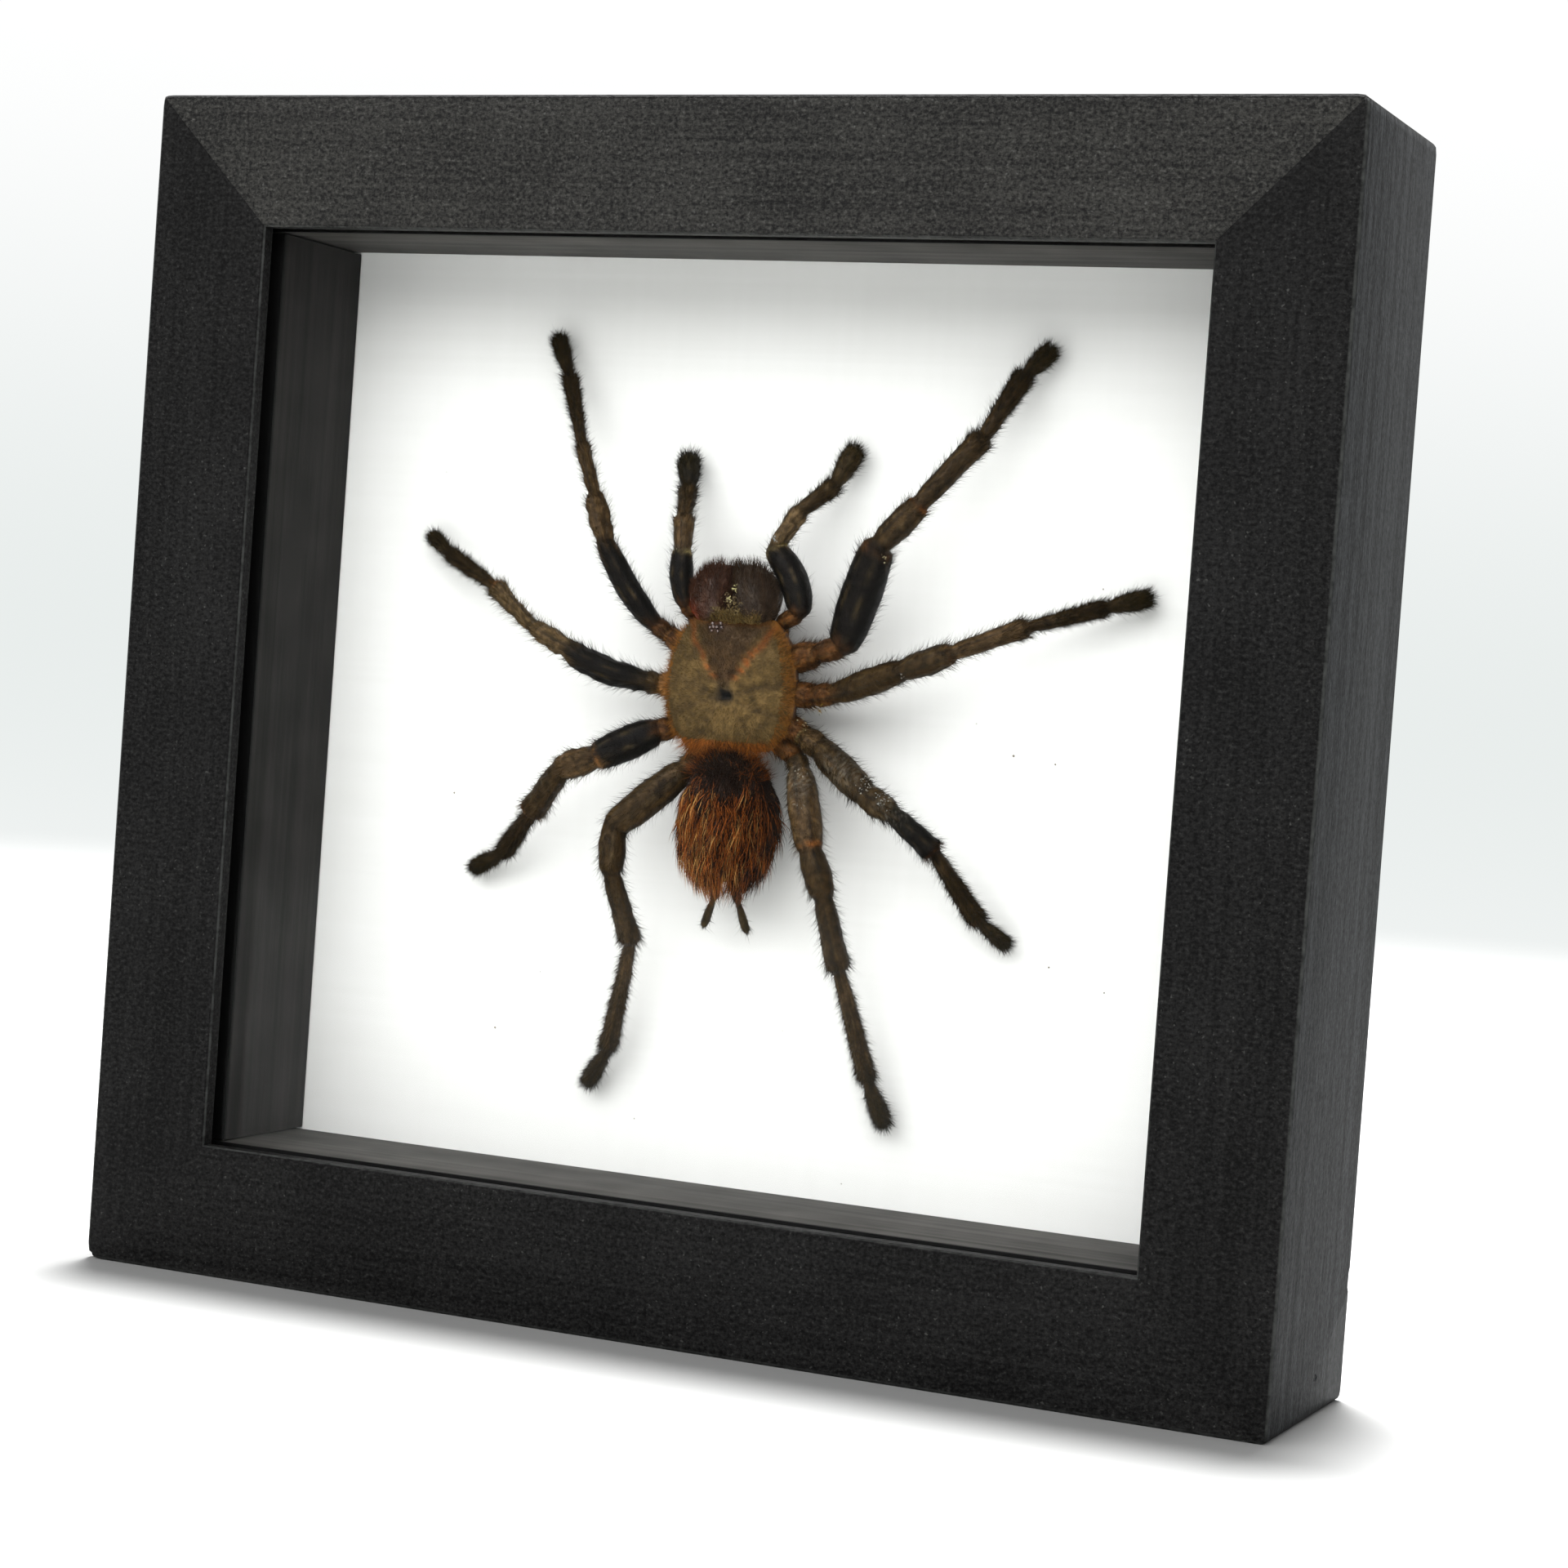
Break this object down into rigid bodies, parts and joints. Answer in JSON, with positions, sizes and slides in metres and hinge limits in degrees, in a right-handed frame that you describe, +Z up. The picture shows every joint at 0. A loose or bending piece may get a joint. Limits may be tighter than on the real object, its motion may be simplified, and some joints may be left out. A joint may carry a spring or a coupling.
{
  "type": "framed tarantula specimen",
  "caption": "Dried tarantula glued with its legs spread on a white card inside a deep black-stained wooden box frame with a glass front.",
  "frame": {"origin": "middle of the flat underside the frame stands on", "axes": "+X to the viewer's right across the frame, +Y from the glass towards the back, +Z up"},
  "size_m": [0.2, 0.0421, 0.19],
  "materials": {
    "stained_wood": "satin black stain, slightly rough",
    "spacer_wood": "matt dark stain",
    "glass": "clear float glass",
    "white_card": "matt laid card",
    "hardboard": "plain hardboard",
    "steel": "plain bright steel",
    "spider_shell": "dry, half glossy, with short hair",
    "carapace_velvet": "short velvet",
    "abdomen_bristles": "long bristles",
    "clear_glue": "hardened glue"
  },
  "bodies": {
    "root": {"abdomen": "abdomen_bristles", "backing_board": "hardboard", "chelicera_left": "spider_shell", "chelicera_right": "spider_shell", "glass_pane": "glass", "glue_abdomen": "clear_glue", "glue_prosoma": "clear_glue", "hanger_nail_left": "steel", "hanger_nail_right": "steel", "hanger_plate": "steel", "leg_1_left": "spider_shell", "leg_1_right": "spider_shell", "leg_2_left": "spider_shell", "leg_2_right": "spider_shell", "leg_3_left": "spider_shell", "leg_3_right": "spider_shell", "leg_4_left": "spider_shell", "leg_4_right": "spider_shell", "mount_card": "white_card", "palp_left": "spider_shell", "palp_right": "spider_shell", "point_bottom_a": "steel", "point_bottom_b": "steel", "point_left_a": "steel", "point_left_b": "steel", "point_right_a": "steel", "point_right_b": "steel", "point_top_a": "steel", "point_top_b": "steel", "prosoma": "carapace_velvet", "rail_bottom": "stained_wood", "rail_top": "stained_wood", "spacer_bottom": "spacer_wood", "spacer_left": "spacer_wood", "spacer_right": "spacer_wood", "spacer_top": "spacer_wood", "spinneret_left": "spider_shell", "spinneret_right": "spider_shell", "stile_left": "stained_wood", "stile_right": "stained_wood"}
  },
  "joints": []
}
